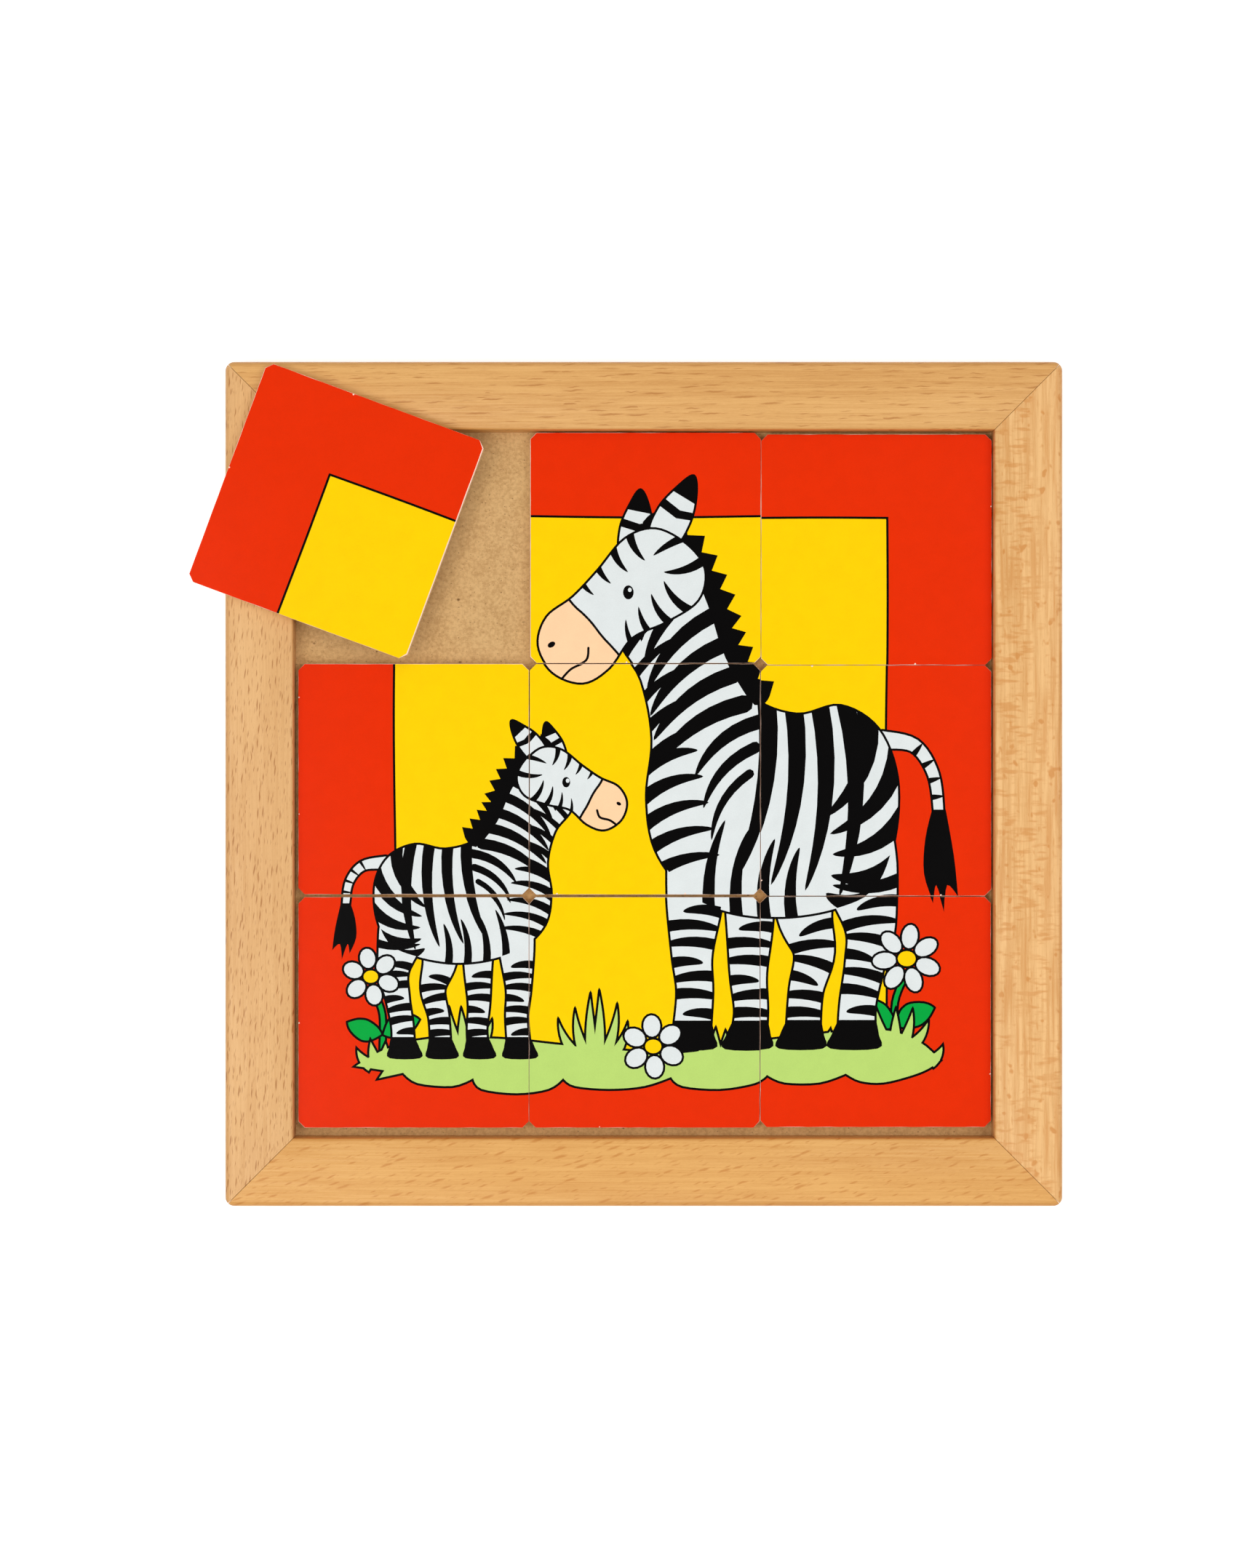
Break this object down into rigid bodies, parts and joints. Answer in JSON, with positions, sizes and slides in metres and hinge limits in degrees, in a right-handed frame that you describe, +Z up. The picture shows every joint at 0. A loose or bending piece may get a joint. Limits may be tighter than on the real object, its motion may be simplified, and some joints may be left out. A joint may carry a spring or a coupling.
{
  "type": "wooden tray picture puzzle",
  "caption": "Square mitred wooden tray with a thin base panel, holding loose square picture tiles in a grid. One tile is out, so the tiles beside its empty cell can slide.",
  "frame": {"origin": "centre of the tray's underside, which is flush with the base panel's underside", "axes": "+Z up out of the open tray, +Y towards the top of the picture, +X to its right"},
  "size_m": [0.2986, 0.2896, 0.016],
  "materials": {
    "beech": "fine sanded beech with a thin clear satin lacquer, short dark flecks along the grain",
    "fibreboard": "bare tan fibreboard with fine dark specks, matt",
    "tile_plywood": "pale three-ply plywood, sanded, bare at the edges and underneath",
    "printed_face": "picture printed in flat inks on a white ground, sealed satin",
    "fastener_steel": "plain bright steel wire and strip"
  },
  "bodies": {
    "tray": {"top_rail": "beech", "bottom_rail": "beech", "left_rail": "beech", "right_rail": "beech", "base_panel": "fibreboard", "corner_v_nails": "fastener_steel", "panel_pins": "fastener_steel"},
    "top_left_tile": {"top_left_tile_board": "tile_plywood", "top_left_tile_print": "printed_face"},
    "top_middle_tile": {"top_middle_tile_board": "tile_plywood", "top_middle_tile_print": "printed_face"},
    "top_right_tile": {"top_right_tile_board": "tile_plywood", "top_right_tile_print": "printed_face"},
    "middle_left_tile": {"middle_left_tile_board": "tile_plywood", "middle_left_tile_print": "printed_face"},
    "centre_tile": {"centre_tile_board": "tile_plywood", "centre_tile_print": "printed_face"},
    "middle_right_tile": {"middle_right_tile_board": "tile_plywood", "middle_right_tile_print": "printed_face"},
    "bottom_left_tile": {"bottom_left_tile_board": "tile_plywood", "bottom_left_tile_print": "printed_face"},
    "bottom_middle_tile": {"bottom_middle_tile_board": "tile_plywood", "bottom_middle_tile_print": "printed_face"},
    "bottom_right_tile": {"bottom_right_tile_board": "tile_plywood", "bottom_right_tile_print": "printed_face"}
  },
  "joints": [
    {"name": "top_left_tile_lift", "type": "slide", "parent": "tray", "child": "top_left_tile", "axis": [0, 0, 1], "range_m": [0, 0.04]},
    {"name": "top_middle_tile_slide", "type": "slide", "parent": "tray", "child": "top_middle_tile", "axis": [-1, 0, 0], "range_m": [0, 0.081]},
    {"name": "top_right_tile_lift", "type": "slide", "parent": "tray", "child": "top_right_tile", "axis": [0, 0, 1], "range_m": [0, 0.04]},
    {"name": "middle_left_tile_slide", "type": "slide", "parent": "tray", "child": "middle_left_tile", "axis": [0, -1, 0], "range_m": [-0.08, 0]},
    {"name": "centre_tile_lift", "type": "slide", "parent": "tray", "child": "centre_tile", "axis": [0, 0, 1], "range_m": [0, 0.04]},
    {"name": "middle_right_tile_lift", "type": "slide", "parent": "tray", "child": "middle_right_tile", "axis": [0, 0, 1], "range_m": [0, 0.04]},
    {"name": "bottom_left_tile_lift", "type": "slide", "parent": "tray", "child": "bottom_left_tile", "axis": [0, 0, 1], "range_m": [0, 0.04]},
    {"name": "bottom_middle_tile_lift", "type": "slide", "parent": "tray", "child": "bottom_middle_tile", "axis": [0, 0, 1], "range_m": [0, 0.04]},
    {"name": "bottom_right_tile_lift", "type": "slide", "parent": "tray", "child": "bottom_right_tile", "axis": [0, 0, 1], "range_m": [0, 0.04]}
  ]
}
